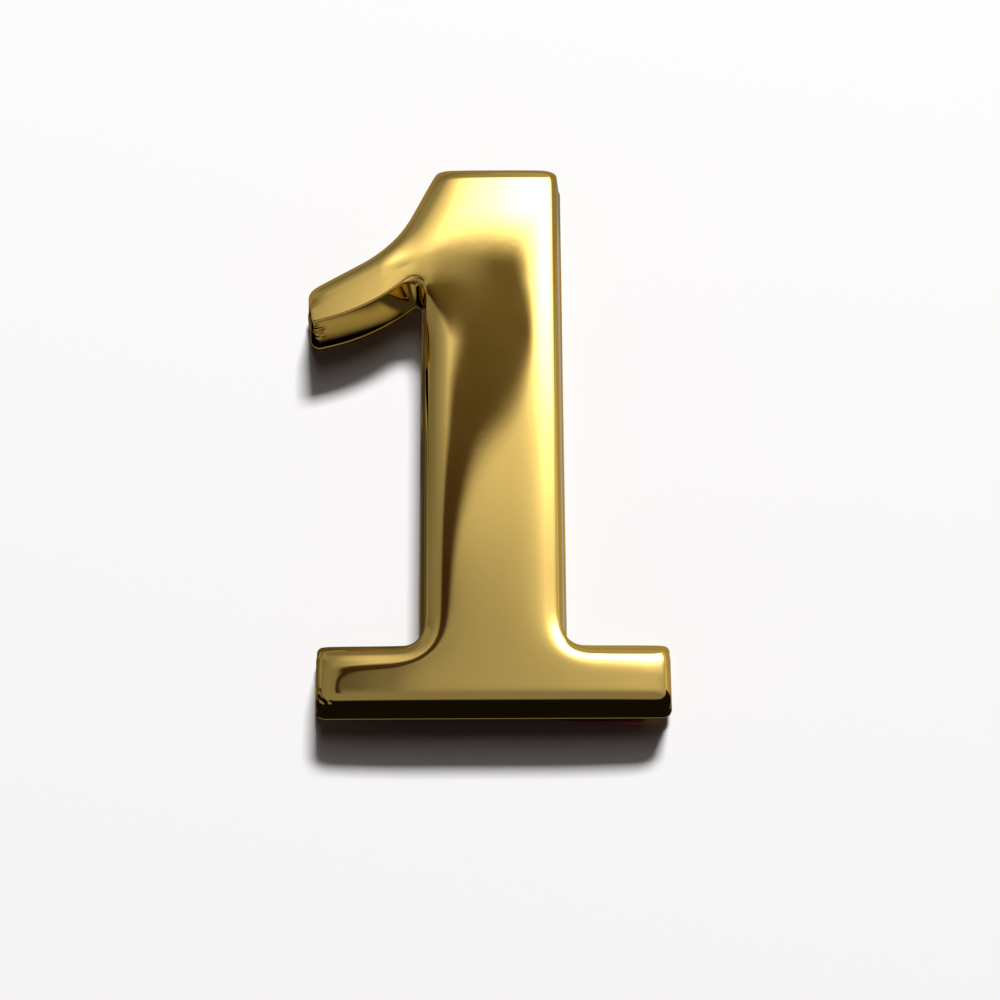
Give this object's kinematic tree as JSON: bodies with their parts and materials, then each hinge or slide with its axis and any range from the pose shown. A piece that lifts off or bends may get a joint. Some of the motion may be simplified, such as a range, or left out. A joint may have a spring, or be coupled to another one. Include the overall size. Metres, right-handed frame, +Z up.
{
  "type": "plastic door number",
  "caption": "Gold plated plastic door numeral, the figure one, with rounded edges, a hollow ribbed back and self-adhesive foam strips under peel-off liners.",
  "frame": {"origin": "on the face that goes to the door, the liner's outer face, on the stem's centre line and at half the figure's height", "axes": "+Z up the door, +X to the viewer's right, +Y into the door; the front faces -Y"},
  "size_m": [0.0323, 0.0074, 0.0504],
  "materials": {
    "gold_plating": "polished",
    "foam_tape": "matte",
    "release_liner": "gloss"
  },
  "bodies": {
    "root": {"numeral": "gold_plating", "foam_tape_stem": "foam_tape", "foam_tape_foot": "foam_tape", "release_liner_stem": "release_liner", "release_liner_foot": "release_liner"}
  },
  "joints": []
}
